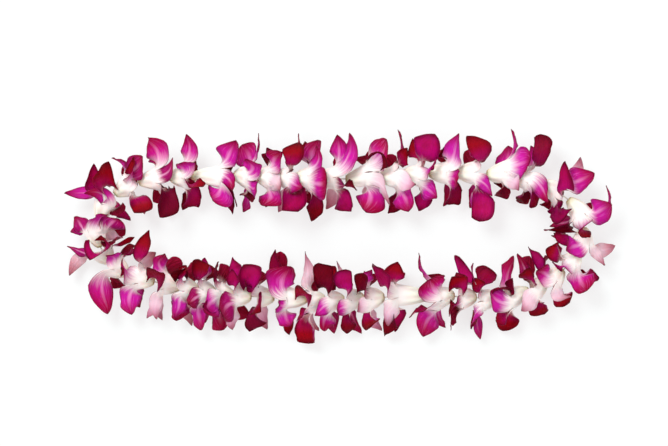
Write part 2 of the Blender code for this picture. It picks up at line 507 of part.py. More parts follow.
def cord_mesh(name, spots, radii, closed, home, skin):
    """A round cord through the given points (mm) as a mesh object."""
    curve = bpy.data.curves.new(name, "CURVE")
    curve.dimensions = "3D"
    curve.bevel_depth = STRING_R * 0.001
    curve.bevel_resolution = 1
    curve.use_fill_caps = not closed
    spline = curve.splines.new("POLY")
    spline.points.add(len(spots) - 1)
    for point, spot, radius in zip(spline.points, spots, radii):
        point.co = (spot[0] * 0.001, spot[1] * 0.001, spot[2] * 0.001, 1.0)
        point.radius = radius
    spline.use_cyclic_u = closed
    source = bpy.data.objects.new(name, curve)
    home.objects.link(source)
    bpy.context.view_layer.update()
    mesh = bpy.data.meshes.new_from_object(source.evaluated_get(bpy.context.evaluated_depsgraph_get()))
    bpy.data.objects.remove(source, do_unlink=True)
    obj = bpy.data.objects.new(name, mesh)
    home.objects.link(obj)
    mesh.materials.clear()
    mesh.materials.append(skin)
    return obj


def build_string(plans, home, helpers, skin):
    """The closed string, its knot lumps, and the two cut ends that come out of the knot."""
    knot = plans[KNOT_AT]["s"] + plans[KNOT_AT]["body"] + KNOT_CLEAR
    spread = (-3.2, -2.4, -1.7, -1.0, -0.4, 0.4, 1.0, 1.7, 2.4, 3.2)
    swell = (1.0, 1.7, 2.6, 2.5, 1.8, 1.8, 2.5, 2.6, 1.7, 1.0)
    stations = [(k * AROUND / 132, 1.0) for k in range(132)]
    stations = [row for row in stations if abs((row[0] - knot + AROUND / 2) % AROUND - AROUND / 2) > 4.5]
    stations += [((knot + d) % AROUND, r) for d, r in zip(spread, swell)]
    stations.sort()
    at = np.array([row[0] for row in stations])
    xy = along(LINE, at)
    spots = [(x, y, AXIS_Z) for x, y in xy]
    string = cord_mesh("lei_string", spots, [row[1] for row in stations], True, home, skin)
    for name, side in (("string_end_a", 1.0), ("string_end_b", -1.0)):
        back = np.array([0.8, -1.2, -3.5, -6.0, -8.5])
        out = np.array([0.3, 1.5, 2.6, 3.0, 3.1]) * side
        base = along(LINE, knot + back) + along(NORMAL, knot + back) * out[:, None]
        rise = AXIS_Z + np.array([0.2, 0.9, 1.4, 1.2, 0.6])
        end = cord_mesh(name, [(x, y, z) for (x, y), z in zip(base, rise)], [1.0] * 5, False, helpers, skin)
        end.hide_render = True
        end.display_type = "WIRE"
        join = string.modifiers.new(name, "BOOLEAN")
        join.operation = "UNION"
        join.solver = "EXACT"
        join.object = end
    return string


def main():
    clear_scene()
    home = bpy.data.collections.new("fresh_flower_lei")
    bpy.context.scene.collection.children.link(home)
    helpers = bpy.data.collections.new("cutters")
    helpers.hide_render = True
    bpy.context.scene.collection.children.link(helpers)
    cotton = material("cotton_string", (0.86, 0.83, 0.74), 0.9)
    plans = bloom_plan()
    for number, plan in enumerate(plans, 1):
        shade = 0.85 + 0.15 * math.sin(number * 2.4)
        skin = material(f"orchid_{number:02d}", (0.52 * shade, 0.012, 0.16 * shade), 0.55)
        build_bloom(number, plan, home, skin)
    build_string(plans, home, helpers, cotton)


main()
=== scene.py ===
"""Looks of the fresh flower lei: every orchid bloom as a finely modelled thin sheet with its throat, lip and column,
and the twisted cotton string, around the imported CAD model. Lengths in the layout are millimetres."""

import itertools
import math

import bpy
import numpy as np
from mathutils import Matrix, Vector


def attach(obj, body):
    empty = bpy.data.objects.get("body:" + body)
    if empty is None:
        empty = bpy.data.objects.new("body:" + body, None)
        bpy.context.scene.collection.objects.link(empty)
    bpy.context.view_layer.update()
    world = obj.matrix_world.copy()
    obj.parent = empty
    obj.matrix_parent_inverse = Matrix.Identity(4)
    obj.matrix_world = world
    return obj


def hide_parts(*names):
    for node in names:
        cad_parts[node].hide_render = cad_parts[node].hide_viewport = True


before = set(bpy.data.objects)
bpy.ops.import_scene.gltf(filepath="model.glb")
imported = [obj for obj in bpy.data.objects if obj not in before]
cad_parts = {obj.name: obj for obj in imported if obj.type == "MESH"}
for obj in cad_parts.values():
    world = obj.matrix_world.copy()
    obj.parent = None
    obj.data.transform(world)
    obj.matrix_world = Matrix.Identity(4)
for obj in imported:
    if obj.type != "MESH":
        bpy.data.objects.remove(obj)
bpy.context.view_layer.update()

# ---------------------------------------------------------------- layout
# The strand is laid out in plan on a grid: x runs right, y runs down the sheet.
GRID = 0.92             # millimetres per grid unit
GRID_X = 342.5          # grid point that lands on the world origin
GRID_Y = 236.5
AXIS_Z = 22.0           # mm, height of the string above the resting surface
LIFT = 6.0              # mm, below this height the lobes are pressed flat
THICK = 0.9             # mm, wall of body and lobes

# String line in plan, clockwise from above, in grid units.
LOOP = (
    (98, 228), (103, 208), (120, 190), (143, 181), (175, 177), (215, 176), (260, 176), (300, 178),
    (345, 179), (375, 178), (410, 175), (435, 173), (465, 173), (491, 174), (520, 178), (550, 188),
    (573, 203), (584, 222), (582, 243), (570, 264), (550, 280), (528, 291), (505, 297), (480, 298),
    (450, 296), (410, 296), (370, 298), (335, 300), (300, 299), (262, 297), (225, 295), (190, 289),
    (160, 283), (130, 275), (108, 260), (98, 243),
)

# One row for each bloom, clockwise: grid point of its back end, grid point of
# the middle of its mouth, and the lobes whose tips are listed:
# (P petal, S sepal or L lip; tip x, y on the grid; tip height in mm; side that
# faces up: F the inner side, B the outer side, b an outer side that is pale,
# e an edge; width factor; curl of the tip in mm).
BLOOMS = (
    ((98, 243), (94, 223), (("P", 76, 217, 24, "B", 0.6, 2), ("S", 70, 232, 16, "B", 0.7, 2), ("P", 122, 216, 30, "B", 0.9, 2), ("S", 120, 240, 12, "b", 0.7, 1))),
    ((100, 215), (109, 197), (("P", 64, 199, 28, "B", 0.42, 3), ("S", 88, 190, 40, "B", 0.8, 2), ("S", 93, 167, 36, "F", 1.2, 2), ("P", 118, 161, 44, "F", 1.3, 1), ("P", 121, 214, 28, "F", 1.1, 1))),
    ((118, 191), (137, 183), (("S", 133, 157, 34, "F", 0.8, 2), ("P", 150, 158, 33, "B", 0.85, 2), ("P", 142, 213, 32, "F", 1.3, 1), ("S", 114, 156, 24, "e", 0.8, 2))),
    ((143, 181), (167, 178), (("P", 148, 136, 30, "B", 0.9, 4), ("P", 184, 211, 30, "F", 1.35, 1), ("S", 168, 217, 9, "F", 1.0, 1), ("S", 181, 160, 38, "B", 0.8, 1))),
    ((174, 177), (190, 176), (("S", 189, 134, 26, "B", 1.0, 5), ("P", 180, 163, 43, "B", 0.8, 1), ("P", 200, 208, 10, "F", 0.8, 1))),
    ((196, 176), (225, 177), (("P", 235, 140, 30, "B", 0.9, 4), ("P", 212, 201, 30, "B", 1.0, 2), ("P", 236, 190, 42, "B", 0.8, 1), ("S", 241, 147, 20, "F", 1.0, 3), ("L", 250, 205, 15, "F", 0.9, 2), ("S", 233, 215, 8, "F", 0.7, 1))),
    ((238, 176), (250, 178), (("P", 252, 160, 42, "B", 0.9, 1), ("S", 262, 132, 20, "e", 0.8, 3))),
    ((259, 177), (272, 178), (("P", 279, 151, 40, "B", 1.0, 1), ("S", 267, 208, 12, "F", 0.7, 1))),
    ((278, 177), (290, 179), (("P", 291, 144, 32, "F", 1.0, 6), ("P", 298, 212, 40, "F", 1.6, 0), ("S", 303, 134, 14, "e", 0.8, 3))),
    ((299, 178), (311, 179), (("S", 315, 222, 14, "F", 1.3, 1), ("S", 321, 149, 26, "B", 0.8, 5))),
    ((318, 179), (350, 178), (("S", 337, 134, 28, "B", 1.1, 4), ("S", 359, 131, 30, "e", 0.9, 7), ("P", 354, 213, 12, "F", 0.8, 1))),
    ((350, 179), (380, 172), (("P", 365, 213, 27, "B", 1.05, 2), ("P", 394, 140, 30, "B", 1.0, 1), ("S", 397, 203, 28, "b", 1.0, 2))),
    ((383, 178), (403, 176), (("P", 409, 212, 32, "B", 0.95, 1), ("S", 388, 215, 9, "F", 1.1, 1), ("P", 413, 150, 28, "F", 0.8, 3), ("S", 401, 129, 18, "e", 0.8, 2))),
    ((405, 175), (429, 175), (("P", 433, 134, 34, "F", 1.25, 2), ("S", 421, 212, 11, "F", 1.1, 1), ("P", 438, 198, 26, "B", 0.7, 1))),
    ((433, 173), (457, 173), (("P", 456, 134, 26, "B", 0.8, 2), ("S", 443, 147, 22, "F", 1.0, 1), ("S", 457, 182, 42, "B", 1.1, 1), ("P", 463, 205, 14, "F", 0.9, 1))),
    ((460, 173), (484, 173), (("P", 469, 134, 28, "F", 0.9, 3), ("S", 487, 144, 22, "F", 0.7, 1), ("P", 478, 221, 28, "F", 1.3, 2), ("S", 494, 196, 30, "B", 0.8, 1))),
    ((491, 174), (514, 171), (("S", 503, 190, 15, "F", 0.8, 1), ("S", 514, 129, 22, "e", 0.8, 3), ("P", 534, 163, 42, "B", 1.0, 1))),
    ((515, 177), (536, 181), (("P", 537, 134, 27, "F", 1.05, 3), ("P", 541, 205, 24, "F", 0.9, 1))),
    ((541, 184), (564, 196), (("P", 558, 162, 40, "F", 1.2, 1), ("P", 594, 174, 30, "B", 0.9, 2), ("S", 582, 157, 18, "b", 0.8, 4), ("S", 555, 216, 9, "F", 0.9, 1))),
    ((572, 202), (584, 224), (("P", 609, 203, 30, "B", 0.9, 2), ("S", 614, 190, 26, "e", 0.9, 7), ("P", 549, 235, 30, "F", 1.1, 3), ("P", 574, 254, 47, "F", 1.5, 1))),
    ((584, 232), (580, 250), (("S", 616, 247, 12, "b", 0.5, 2), ("S", 604, 264, 26, "b", 0.6, 2))),
    ((576, 255), (566, 269), (("P", 585, 291, 34, "B", 1.1, 1), ("P", 546, 248, 22, "F", 0.8, 2))),
    ((560, 273), (548, 284), (("P", 568, 306, 15, "F", 0.95, 1), ("S", 528, 247, 24, "F", 1.0, 5))),
    ((543, 285), (531, 291), (("S", 540, 313, 8, "F", 0.9, 1), ("P", 529, 268, 38, "F", 0.9, 1))),
    ((525, 292), (497, 303), (("P", 521, 276, 38, "F", 0.8, 1), ("S", 502, 332, 9, "F", 1.0, 1), ("P", 481, 290, 40, "B", 0.8, 1), ("S", 489, 322, 15, "F", 0.9, 1))),
    ((497, 298), (470, 301), (("P", 475, 277, 28, "F", 0.6, 1), ("S", 482, 340, 11, "B", 0.8, 1), ("P", 471, 330, 20, "F", 0.6, 1), ("S", 447, 261, 20, "F", 0.9, 3), ("L", 460, 325, 14, "B", 0.8, 1))),
    ((472, 297), (456, 298), (("P", 452, 276, 40, "F", 0.9, 1), ("L", 445, 322, 14, "F", 0.9, 1), ("S", 438, 330, 9, "F", 0.8, 1))),
    ((450, 297), (434, 298), (("P", 428, 278, 41, "B", 1.05, 1), ("P", 421, 336, 16, "B", 0.9, 2), ("S", 412, 256, 26, "e", 0.9, 7))),
    ((427, 296), (391, 295), (("S", 398, 262, 26, "F", 1.3, 2), ("P", 368, 264, 40, "F", 1.3, 1), ("S", 386, 325, 22, "b", 1.1, 1), ("P", 378, 338, 12, "F", 0.85, 1))),
    ((380, 298), (368, 299), (("P", 350, 276, 34, "F", 1.0, 1), ("P", 372, 330, 14, "F", 0.8, 3))),
    ((360, 299), (348, 300), (("P", 344, 269, 37, "F", 1.0, 1), ("P", 346, 336, 14, "F", 0.7, 3), ("S", 332, 261, 18, "b", 0.8, 3))),
    ((340, 300), (328, 302), (("P", 318, 263, 40, "F", 1.5, 1), ("P", 322, 330, 20, "B", 0.8, 2))),
    ((321, 302), (309, 303), (("P", 305, 345, 15, "F", 1.35, 2), ("S", 308, 253, 16, "b", 0.9, 3), ("S", 294, 319, 24, "F", 0.8, 1))),
    ((303, 299), (278, 297), (("P", 288, 265, 40, "B", 1.15, 1), ("P", 290, 327, 20, "B", 0.8, 2), ("S", 281, 251, 14, "b", 0.8, 3), ("S", 271, 250, 24, "F", 1.1, 2))),
    ((270, 298), (250, 296), (("P", 244, 264, 38, "F", 1.2, 2), ("P", 251, 333, 15, "F", 0.9, 2), ("S", 264, 308, 42, "F", 1.4, 1))),
    ((247, 296), (236, 295), (("P", 228, 258, 26, "F", 0.9, 5), ("S", 230, 330, 20, "b", 1.1, 1))),
    ((230, 294), (218, 293), (("P", 203, 311, 36, "B", 1.0, 1), ("S", 214, 262, 22, "F", 0.9, 2))),
    ((212, 293), (200, 291), (("P", 203, 260, 27, "F", 1.0, 1), ("P", 203, 329, 16, "B", 0.95, 2))),
    ((194, 290), (182, 288), (("S", 177, 318, 24, "B", 1.1, 1), ("P", 184, 264, 30, "F", 0.9, 2))),
    ((176, 286), (156, 282), (("P", 162, 253, 38, "B", 1.1, 1), ("P", 148, 267, 45, "F", 1.2, 1), ("S", 156, 319, 26, "b", 0.75, 1), ("S", 146, 319, 12, "b", 0.6, 1))),
    ((150, 281), (132, 276), (("P", 149, 230, 30, "F", 0.8, 5), ("P", 131, 314, 24, "B", 0.9, 2), ("P", 117, 253, 46, "F", 1.5, 1))),
    ((124, 272), (112, 264), (("P", 113, 317, 26, "B", 0.82, 2), ("S", 93, 303, 18, "B", 0.75, 2))),
    ((107, 260), (100, 248), (("S", 67, 275, 14, "b", 0.45, 3), ("S", 66, 241, 18, "B", 0.6, 2), ("P", 104, 234, 45, "F", 1.2, 1), ("P", 90, 256, 40, "F", 1.0, 1))),
)

# Lobes in order round the mouth, 60 degrees apart from the dorsal sepal.
KINDS = ("sepal", "petal", "sepal", "lip", "sepal", "petal")
LETTER = {"sepal": "S", "petal": "P", "lip": "L"}
LONGEST = 40.0
# Half width in mm against distance along the lobe.
SHAPE_T = (0.0, 0.18, 0.42, 0.64, 0.84, 0.95, 1.0)
SHAPE_W = {
    "petal": (5.2, 8.6, 13.2, 13.2, 7.4, 2.8, 0.2),
    "heart": (5.2, 8.6, 13.4, 14.8, 11.0, 5.4, 0.4),
    "sepal": (5.2, 7.6, 8.4, 6.8, 3.5, 1.3, 0.15),
    "lip": (5.2, 6.2, 7.8, 7.8, 7.4, 4.4, 0.6),
}
CUP = {"petal": 0.12, "sepal": 0.24, "lip": 0.30}
MOUTH_R = 10.0
BODY_T = (0.0, 0.09, 0.32, 0.65, 1.0)   # share of the body's length
BODY_R = (2.7, 4.0, 6.0, 8.2, 10.0)     # mm, radius there
CREST = 46.0            # mm, taller lobes bow under their own weight above this
OVERHANG = 9.0          # mm forwards for each AXIS_Z of height
NEST = 4.0              # mm that each back end reaches into the mouth behind it


def loop_line():
    """The string line as a smooth closed curve: arc length, points, tangents and outward normals, in mm."""
    grid = np.array(LOOP, float)
    pts = np.stack([(grid[:, 0] - GRID_X) * GRID, (GRID_Y - grid[:, 1]) * GRID], 1)
    n = len(pts)
    fine = []
    for i in range(n):
        p0, p1, p2, p3 = pts[i - 1], pts[i], pts[(i + 1) % n], pts[(i + 2) % n]
        for k in range(24):
            t = k / 24.0
            fine.append(0.5 * (2 * p1 + (p2 - p0) * t + (2 * p0 - 5 * p1 + 4 * p2 - p3) * t * t
                               + (3 * p1 - p0 - 3 * p2 + p3) * t ** 3))
    fine = np.array(fine)
    count = 720
    for passes in (60, 12):
        closed = np.vstack([fine, fine[:1]])
        run = np.concatenate([[0.0], np.cumsum(np.linalg.norm(np.diff(closed, axis=0), axis=1))])
        at = np.arange(count) * run[-1] / count
        fine = np.stack([np.interp(at, run, closed[:, 0]), np.interp(at, run, closed[:, 1])], 1)
        for _ in range(passes):
            fine = 0.5 * fine + 0.25 * (np.roll(fine, 1, 0) + np.roll(fine, -1, 0))
    closed = np.vstack([fine, fine[:1]])
    run = np.concatenate([[0.0], np.cumsum(np.linalg.norm(np.diff(closed, axis=0), axis=1))])
    tangent = np.roll(fine, -1, 0) - np.roll(fine, 1, 0)
    tangent /= np.linalg.norm(tangent, axis=1)[:, None]
    normal = np.stack([-tangent[:, 1], tangent[:, 0]], 1)
    return run, fine, tangent, normal


RUN, LINE, TANGENT, NORMAL = loop_line()
AROUND = float(RUN[-1])


def along(table, s):
    s = np.mod(s, AROUND)
    wrapped = np.vstack([table, table[:1]])
    return np.stack([np.interp(s, RUN, wrapped[:, 0]), np.interp(s, RUN, wrapped[:, 1])], -1)


def station(x, y):
    """Arc length and outward offset of a grid point."""
    p = np.array([(x - GRID_X) * GRID, (GRID_Y - y) * GRID])
    i = int(np.argmin(np.linalg.norm(LINE - p, axis=1)))
    ahead = float(np.dot(p - LINE[i], TANGENT[i]))
    s = RUN[i] + np.clip(ahead, -3.0, 3.0)
    return float(s % AROUND), float(np.dot(p - LINE[i], NORMAL[i]))


def bend_at(s):
    """Curvature of the string line there, 1/mm; points outwards of it lie that much further apart."""
    one, two = along(NORMAL, np.array([s - 8.0, s + 8.0]))
    return float(np.dot(two - one, along(TANGENT, s))) / 16.0


def settle(p):
    """Presses the strand onto the surface: what would sink is laid forwards and sideways instead."""
    a, y, z = p[..., 0], p[..., 1], p[..., 2] - THICK / 2
    low = np.minimum(z, LIFT)
    soft = LIFT * np.exp((low - LIFT) / LIFT)
    pressed = np.where(z < LIFT, np.maximum(soft - 1.5 * (LIFT - soft) / LIFT, 0.0), z)
    over = np.maximum(z - CREST, 0.0)
    sunk = over - 7.0 * np.tanh(over / 9.0)
    gave = pressed - z
    return np.stack([a + 0.75 * gave, y * (1.0 + 0.022 * gave), pressed - sunk + THICK / 2], -1)


def to_world(p):
    """From strand coordinates (along, outwards, up) in mm to world mm."""
    q = settle(p)
    xy = along(LINE, q[..., 0]) + along(NORMAL, q[..., 0]) * q[..., 1:2]
    return np.concatenate([xy, q[..., 2:3]], -1)


def soft_limit(x, low, high):
    """Leaves the middle alone and eases values into (low, high)."""
    knee = 0.42
    up = np.where(x > knee * high, high * (knee + (1 - knee) * np.tanh((x / high - knee) / (1 - knee))), x)
    return np.where(up < knee * low, low * (knee + (1 - knee) * np.tanh((up / low - knee) / (1 - knee))), up)


def unit(v):
    return v / np.maximum(np.linalg.norm(v, axis=-1, keepdims=True), 1e-9)


def smooth(t, lo, hi):
    x = np.clip((t - lo) / (hi - lo), 0.0, 1.0)
    return x * x * (3 - 2 * x)


def smooth_line(xs, ys, t):
    """A smooth line through the points of a table."""
    xs, ys = np.array(xs), np.array(ys)
    slope = np.gradient(ys, xs)
    slope[-1] = (ys[-1] - ys[-2]) / (xs[-1] - xs[-2])
    i = np.clip(np.searchsorted(xs, t, side="right") - 1, 0, len(xs) - 2)
    span = xs[i + 1] - xs[i]
    u = (t - xs[i]) / span
    return ((2 * u ** 3 - 3 * u ** 2 + 1) * ys[i] + (u ** 3 - 2 * u ** 2 + u) * span * slope[i]
            + (-2 * u ** 3 + 3 * u ** 2) * ys[i + 1] + (u ** 3 - u ** 2) * span * slope[i + 1])


def half_width(kind, t):
    return smooth_line(SHAPE_T, SHAPE_W[kind], t)


def turn_between(a, b):
    return abs((a - b + 180.0) % 360.0 - 180.0)


def best_roll(tips):
    """The roll of the dorsal sepal, and the lobe for each placed tip, that turn the tips least from where they grow."""
    best = None
    for roll in range(0, 360, 12):
        spots = [(roll + 60.0 * k) % 360.0 for k in range(6)]
        cost = [[(turn_between(angle, spots[k]) / 30.0) ** 2 + (0.0 if LETTER[KINDS[k]] == letter else 2.5)
                 for k in range(6)] for letter, angle in tips]
        for chosen in itertools.permutations(range(6), len(tips)):
            total = sum(cost[j][k] for j, k in enumerate(chosen))
            if best is None or total < best[0] - 1e-9:
                best = (total, roll, chosen)
    return best[1], best[2]


def overhang(z):
    """How far forwards the upper lobes of a bloom reach over the lower ones of the next."""
    return OVERHANG * np.clip((z - AXIS_Z) / AXIS_Z, -1.0, 1.1)


def ahead_of(s, start):
    return (s - start + AROUND / 2) % AROUND - AROUND / 2


def bloom_plan():
    """Stations, body lengths, free room and lobe poses of all blooms."""
    plans = []
    for (x, y), (mx, my), placed in BLOOMS:
        plans.append({"s": (station(x, y)[0] - NEST) % AROUND, "mouth_at": station(mx, my), "placed": placed})
    plans.sort(key=lambda row: row["s"])
    n = len(plans)
    rng = np.random.RandomState(418)
    for i, plan in enumerate(plans):
        pitch = ahead_of(plans[(i + 1) % n]["s"], plan["s"])
        length = ahead_of(plan["mouth_at"][0], plan["s"])
        plan["pitch"] = pitch
        plan["body"] = float(np.clip(max(0.58 * length, pitch - 13.0), 11.0, max(17.0, pitch - 13.0)))
        plan["mouth_y"] = float(np.clip(0.8 * plan["mouth_at"][1], -3.0, 3.0))
        plan["mouth_z"] = 1.0 * math.sin(2.1 * i)
        tips = []
        for letter, tx, ty, tz, side, wide, curl in plan["placed"]:
            s, off = station(tx, ty)
            tips.append((letter, ahead_of(s, plan["s"]), off, float(tz), side, wide, float(curl)))
        plan["tips"] = tips
        plan["roll"], plan["slots"] = best_roll(
            [(tip[0], math.degrees(math.atan2(tip[3] - AXIS_Z + (11.0 if tip[3] > 17.0 else 0.0), tip[2] - plan["mouth_y"])))
             for tip in tips])
    for i, plan in enumerate(plans):
        ahead = plans[(i + 1) % n]
        plan["next_body"] = ahead["body"]
        plan["bend"] = bend_at(plan["s"] + plan["body"])
        gap = plan["pitch"] + ahead["body"] - plan["body"]
        middle = plan["body"] + 0.62 * gap
        most = 0.38 * gap - 3.0
        shifts = []
        for sign in (1.0, -1.0):
            mine = [t[1] - overhang(t[3]) for t in plan["tips"] if sign * t[2] > 8.0]
            theirs = [t[1] - overhang(t[3]) + plan["pitch"] for t in ahead["tips"] if sign * t[2] > 8.0]
            want = 0.0
            if mine and theirs:
                want = (max(mine) + min(theirs)) / 2 - middle
            elif mine:
                want = max(0.0, max(mine) + 2.0 - middle)
            elif theirs:
                want = min(0.0, min(theirs) - 2.0 - middle)
            shifts.append(float(np.clip(want, -most, most)))
        plan["fence"] = (middle, shifts[0], shifts[1])
    for i, plan in enumerate(plans):
        behind = plans[i - 1]
        plan["fence_back"] = (behind["fence"][0] - behind["pitch"], behind["fence"][1], behind["fence"][2])
        used = {side: [tip[1] - overhang(tip[3]) for tip in plan["tips"] if side * tip[2] > 6.0] for side in (1.0, -1.0)}
        rise = [math.sin(math.radians(plan["roll"] + 60.0 * k)) if k not in plan["slots"] else -1.0 for k in range(6)]
        draped = rise.index(max(rise)) if max(rise) > -0.30 else None
        lobes = []
        for k, kind in enumerate(KINDS):
            theta = plan["roll"] + 60.0 * k
            wild = np.clip(rng.normal(0.0, 1.0, 9), -2.0, 2.0)
            tone = float(rng.random_sample())
            lobe = {"kind": kind, "theta": theta, "phase": float(wild[5]) * 3.0,
                    "cup": 1.0 + 0.9 * abs(wild[7]), "twist": 0.24 * float(wild[8]),
                    "hook": float(2.2 * wild[8] + 1.5 * wild[0]) * (1.3 if kind == "sepal" else 1.0)}
            if k in plan["slots"]:
                _, ta, ty, tz, face, wide, curl = plan["tips"][plan["slots"].index(k)]
                lobe.update(tip=(ta, ty, tz), inner_up=face in "Fe", turned=0.12 if face == "e" else 1.0,
                            wide=1.06 * wide, curl=curl, pale=1.0 if face == "b" else 0.0)
                lobes.append(lobe)
                continue
            # The other lobes fill the widest gap left on their side of the strand.
            up, across = math.sin(math.radians(theta)), math.cos(math.radians(theta)) + 0.1 * wild[3]
            side = 1.0 if across > 0 else -1.0
            tz = 21.0 + (17.0 if up > 0 else 26.0) * up + 3.0 * wild[1]
            ty = side * (29.0 - 5.0 * max(up, 0.0) + 3.0 * wild[2] - (9.0 if kind == "lip" else 0.0))
            if k == draped:
                ty, tz = side * (12.0 + 4.0 * wild[2]), 40.0 + 2.0 * wild[1]
            which = 1 if side > 0 else 2
            first = plan["fence_back"][0] + plan["fence_back"][which] + 5.0
            last = plan["fence"][0] + plan["fence"][which] - 5.0
            spots = np.linspace(first, last, 9)
            free = [min([abs(spot - other) for other in used[side]] + [12.0]) for spot in spots]
            spot = float(spots[int(np.argmax(np.array(free) - 0.02 * np.abs(spots - plan["body"] - 4.0)))])
            if k == draped:
                spot = float(spots[-1])
            used[side].append(spot)
            lobe.update(tip=(spot + float(overhang(tz)), ty, max(tz, -10.0)), inner_up=wild[6] < -0.1,
                        turned=float(np.clip(0.85 + 0.12 * wild[4], 0.5, 1.0)),
                        wide=1.07 + 0.09 * wild[0] + float(np.clip((plan["pitch"] - 26.0) / 90.0, 0.0, 0.16)),
                        curl=2.0 + 1.4 * abs(wild[4]), pale=1.0 if kind == "sepal" and tone > 0.6 else 0.0)
            lobes.append(lobe)
        plan["lobes"] = lobes
    return plans


def fence_at(fence, y, z):
    """How far along the strand the dividing surface between two blooms is, for points this far outwards and up."""
    middle, outer, inner = fence
    return middle + outer * smooth(y, 4.0, 34.0) + inner * smooth(-y, 4.0, 34.0) + overhang(z)


def lobe_points(plan, lobe, ts, us, ruffle=0.0):
    """Strand coordinates of a lobe's mid surface, shape (len(ts), len(us), 3), relative to the bloom's back end."""
    kind = lobe["kind"]
    shape = "heart" if kind == "petal" and lobe["wide"] > 1.02 else kind
    ang = math.radians(lobe["theta"])
    rho = np.array([0.0, math.cos(ang), math.sin(ang)])
    tau = np.array([0.0, -math.sin(ang), math.cos(ang)])
    fwd = np.array([1.0, 0.0, 0.0])
    axis = np.array([plan["body"], plan["mouth_y"], AXIS_Z + plan["mouth_z"]])
    start = axis + MOUTH_R * rho
    tip = np.array(lobe["tip"])
    far = float(np.linalg.norm(tip - start))
    tip = start + (tip - start) * min(1.0, LONGEST / far)
    flare = unit(2.2 * fwd + rho)
    reach = float(np.linalg.norm(tip - start))
    c1 = start + 0.34 * reach * flare
    c2 = tip - 0.34 * reach * unit(tip - c1)
    t = np.asarray(ts, float)[:, None]
    mid = ((1 - t) ** 3 * start + 3 * (1 - t) ** 2 * t * c1 + 3 * (1 - t) * t ** 2 * c2 + t ** 3 * tip)
    d = unit(3 * (1 - t) ** 2 * (c1 - start) + 6 * (1 - t) * t * (c2 - c1) + 3 * t ** 2 * (tip - c2))
    w0 = unit(tau - d * (d @ tau)[:, None])
    n0 = np.cross(d, w0)
    end_w, end_n = w0[-1], n0[-1]
    sign = 1.0 if lobe["inner_up"] else -1.0
    full = math.atan2(-sign * end_w[2], sign * end_n[2])
    full = max(-1.75, min(1.75, full))
    phi = full * lobe["turned"] * smooth(t, 0.05, 0.60) + lobe["twist"] * smooth(t, 0.30, 1.0)
    w = np.cos(phi) * w0 + np.sin(phi) * n0
    n = np.cos(phi) * n0 - np.sin(phi) * w0
    u = np.asarray(us, float)[None, :]
    hw = (half_width(shape, t[:, 0]) * (1.0 + (lobe["wide"] - 1.0) * smooth(t[:, 0], 0.0, 0.4)))[:, None]
    cup = CUP[kind] * lobe["cup"] * hw * u ** 2 * smooth(t, 0.05, 0.4)
    curl = -lobe["curl"] * smooth(t, 0.62, 1.15) * 1.6
    lift = cup + curl + 0 * u
    if ruffle:
        wave = np.sin(t * 19.0 + lobe["phase"]) + 0.6 * np.sin(t * 33.0 + 2 * lobe["phase"] + 1.5 * u)
        lift = lift + ruffle * wave * np.abs(u) ** 3 * smooth(t, 0.2, 0.5)
        lift = lift - 0.35 * np.exp(-(u / 0.10) ** 2) * smooth(t, 0.05, 0.2) * (1 - smooth(t, 0.8, 1.0))
    # The ring at the mouth is round: the first row follows it.
    ring_ang = ang + np.asarray(us, float) * math.radians(30.0)
    ring = axis + MOUTH_R * np.stack([0 * ring_ang, np.cos(ring_ang), np.sin(ring_ang)], -1)
    # The tip hooks sideways within the lobe's own plane.
    hooked = lobe["hook"] * (smooth(t, 0.55, 1.25) * 1.4 - 0.35 * smooth(t, 0.1, 0.55))
    mid = mid + hooked * w
    off = (hw * u)[..., None] * w[:, None, :] + lift[..., None] * n[:, None, :]
    off[..., 0] /= np.clip(1.0 + plan["bend"] * mid[:, 1:2], 0.7, 3.0)
    blade = mid[:, None, :] + off
    mix = (1 - smooth(t, 0.0, 0.16))[..., None]
    blade = blade * (1 - mix) + (ring[None] + (mid - start)[:, None, :]) * mix
    # Lobes pass round the back of the next bloom, which reaches into the mouth.
    into = blade[..., 0] - plan["pitch"]
    room = (smooth_line(BODY_T, BODY_R, np.clip(into / plan["next_body"], 0.0, 0.99)) + 1.4) * smooth(into, -3.5, -0.5)
    dy, dz = blade[..., 1], blade[..., 2] - AXIS_Z
    r = np.hypot(dy, dz)
    pushed = np.where(room > 0.0, 0.5 * (r + room + np.sqrt((r - room) ** 2 + 1.2)), r)
    pushed = r + (pushed - r) * smooth(into, -3.5, -0.5)
    blade[..., 1], blade[..., 2] = dy * pushed / np.maximum(r, 1e-6), AXIS_Z + dz * pushed / np.maximum(r, 1e-6)
    high = fence_at(plan["fence"], blade[..., 1], blade[..., 2]) - plan["body"] - 1.4
    low = fence_at(plan["fence_back"], blade[..., 1], blade[..., 2]) - plan["body"] + 1.4
    blade[..., 0] = plan["body"] + soft_limit(blade[..., 0] - plan["body"], low, high)
    return blade


def body_ring(plan, f, around):
    """Strand coordinates of one ring of the hollow body; f runs from 0 at the back to 1 at the mouth."""
    r = smooth_line(BODY_T, BODY_R, np.array([min(f, 0.9999)]))[0]
    r = r * (1.0 + 0.07 * math.sin(math.pi * f) * np.cos(6.0 * (around - math.radians(plan["roll"]))))
    drift = f * f
    return np.stack([plan["body"] * f + 0 * around, drift * plan["mouth_y"] + r * np.cos(around),
                     AXIS_Z + drift * plan["mouth_z"] + r * np.sin(around)], -1)


